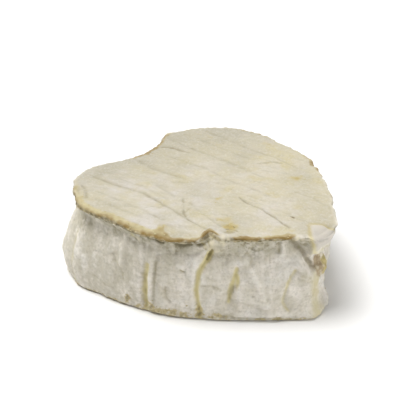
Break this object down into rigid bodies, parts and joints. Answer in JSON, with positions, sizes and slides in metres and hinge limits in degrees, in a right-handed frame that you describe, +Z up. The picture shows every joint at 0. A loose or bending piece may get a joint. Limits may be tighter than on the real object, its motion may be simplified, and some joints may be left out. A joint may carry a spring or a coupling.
{
  "type": "neufchatel cheese",
  "caption": "Small heart-shaped soft cheese with a bloomy white rind, in one piece, lying flat.",
  "frame": {"origin": "middle of the bounding box at the level of the flat base", "axes": "+Z up through the cheese's thickness, -Y towards the heart's point, +Y towards its notch"},
  "size_m": [0.1028, 0.1058, 0.0364],
  "materials": {
    "bloomy_rind": "dry, velvety off-white mould with tan worn edges and olive creases"
  },
  "bodies": {
    "root": {"cheese_heart": "bloomy_rind"}
  },
  "joints": []
}
